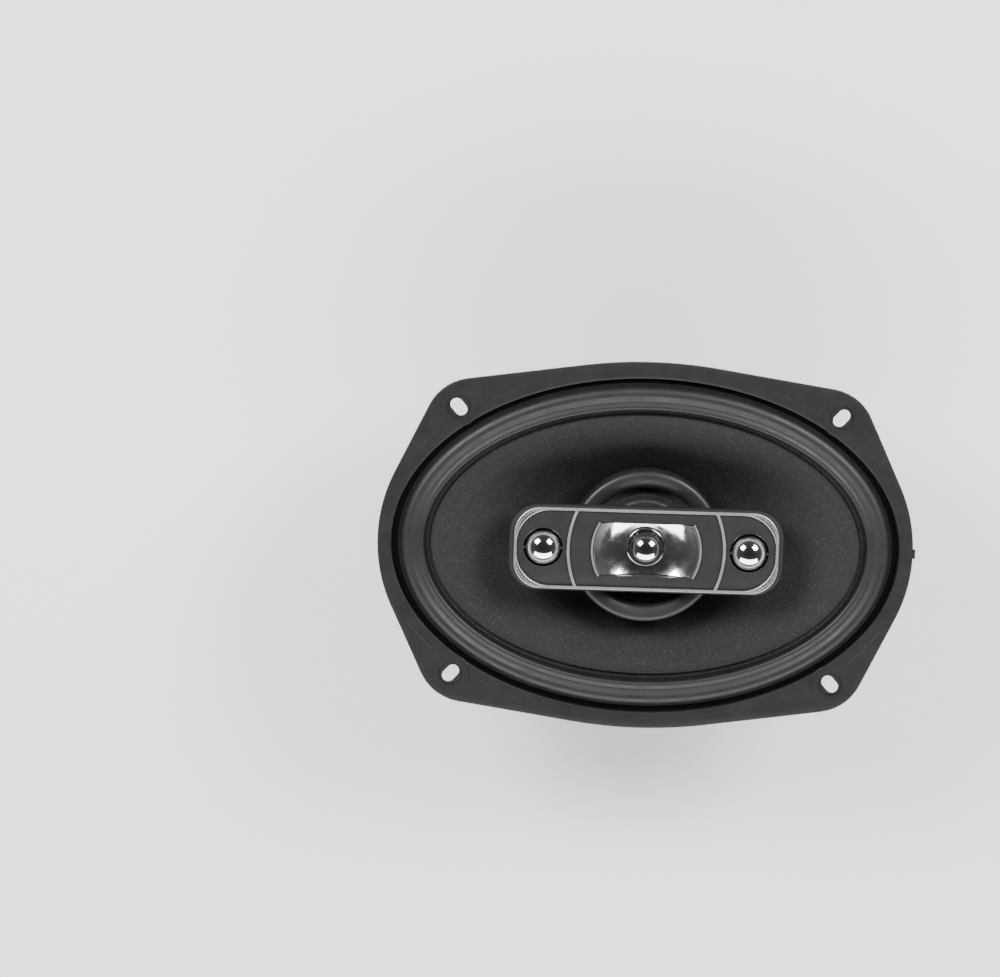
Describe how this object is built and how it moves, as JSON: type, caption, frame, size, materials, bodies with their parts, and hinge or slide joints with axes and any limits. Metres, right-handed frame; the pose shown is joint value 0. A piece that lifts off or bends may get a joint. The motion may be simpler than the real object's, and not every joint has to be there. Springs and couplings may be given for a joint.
{
  "type": "coaxial car speaker",
  "caption": "Oval coaxial car loudspeaker with a stamped basket, oval cone, round midrange and a bridge holding a dish tweeter between two small super tweeters.",
  "frame": {"origin": "centre of the magnet boot's rear face, on the speaker's axis", "axes": "+Z along the speaker's axis out of its front, +X along the long side of the frame, +Y along the short side"},
  "size_m": [0.2374, 0.1642, 0.0958],
  "materials": {
    "basket_steel": "satin charcoal paint with a faint fine texture",
    "boot_plastic": "moulded dark grey, satin",
    "plated_steel": "zinc-plated, machined",
    "ferrite": "ground ferrite, matt",
    "surround_rubber": "butyl rubber, soft sheen",
    "cone_paper": "pressed black paper pulp with pale mica flecks",
    "spider_cloth": "resin-dipped woven cotton",
    "coil_film": "glossy dark film",
    "super_film": "glossy dark film",
    "coil_copper": "enamelled copper wire",
    "gold_plate": "gold-plated brass",
    "tinsel_copper": "braided tinsel copper",
    "capacitor_wrap": "yellow film wrap",
    "cable_jacket": "black flexible jacket",
    "post_plastic": "black moulded plastic",
    "bezel_plastic": "mid grey satin moulding",
    "bridge_plastic": "dark grey satin moulding",
    "bright_trim": "satin silver plating",
    "chrome": "mirror plating",
    "nickel_magnet": "nickel-plated neodymium",
    "piezo_brass": "lapped brass disc"
  },
  "bodies": {
    "chassis": {"basket": "basket_steel", "magnet_boot": "boot_plastic", "terminal_block": "boot_plastic", "pod_cover_left": "boot_plastic", "pod_cover_right": "boot_plastic", "back_plate_pole": "plated_steel", "top_plate": "plated_steel", "basket_rivet_1": "plated_steel", "basket_rivet_2": "plated_steel", "basket_rivet_3": "plated_steel", "basket_rivet_4": "plated_steel", "terminal_rivet_1": "plated_steel", "terminal_rivet_2": "plated_steel", "post_nut": "plated_steel", "mid_yoke": "plated_steel", "mid_top_plate": "plated_steel", "tweeter_yoke": "plated_steel", "tweeter_top_plate": "plated_steel", "bridge_screw_left": "plated_steel", "bridge_screw_right": "plated_steel", "magnet": "ferrite", "super_tweeter_diaphragm_left": "super_film", "super_tweeter_diaphragm_right": "super_film", "terminal_positive": "gold_plate", "terminal_negative": "gold_plate", "capacitor": "capacitor_wrap", "tweeter_cable": "cable_jacket", "tweeter_post": "post_plastic", "mid_housing": "post_plastic", "mid_bezel": "bezel_plastic", "bridge_housing": "bridge_plastic", "bridge_trim": "bright_trim", "dish_trim_left": "bright_trim", "dish_trim_right": "bright_trim", "tweeter_reflector": "chrome", "tweeter_phase_plug": "chrome", "super_tweeter_plug_left": "chrome", "super_tweeter_plug_right": "chrome", "mid_magnet": "nickel_magnet", "tweeter_magnet": "nickel_magnet", "piezo_disc_left": "piezo_brass", "piezo_disc_right": "piezo_brass"},
    "woofer_cone": {"surround": "surround_rubber", "cone": "cone_paper", "spider": "spider_cloth", "voice_coil_former": "coil_film", "voice_coil": "coil_copper", "tinsel_lead_positive": "tinsel_copper", "tinsel_lead_negative": "tinsel_copper"},
    "midrange_cone": {"mid_diaphragm": "coil_film", "mid_voice_coil": "coil_copper"},
    "tweeter_diaphragm": {"tweeter_dome": "coil_film", "tweeter_voice_coil": "coil_copper"}
  },
  "joints": [
    {"name": "woofer_travel", "type": "slide", "parent": "chassis", "child": "woofer_cone", "axis": [0, 0, 1], "range_m": [-0.004, 0.004], "stiffness_N_per_m": 2000, "deforming": ["surround", "spider", "tinsel_lead_positive", "tinsel_lead_negative"]},
    {"name": "midrange_travel", "type": "slide", "parent": "chassis", "child": "midrange_cone", "axis": [0, 0, 1], "range_m": [-0.0005, 0.0005], "stiffness_N_per_m": 400},
    {"name": "tweeter_travel", "type": "slide", "parent": "chassis", "child": "tweeter_diaphragm", "axis": [0, 0, 1], "range_m": [-0.0002, 0.0002], "stiffness_N_per_m": 150}
  ]
}
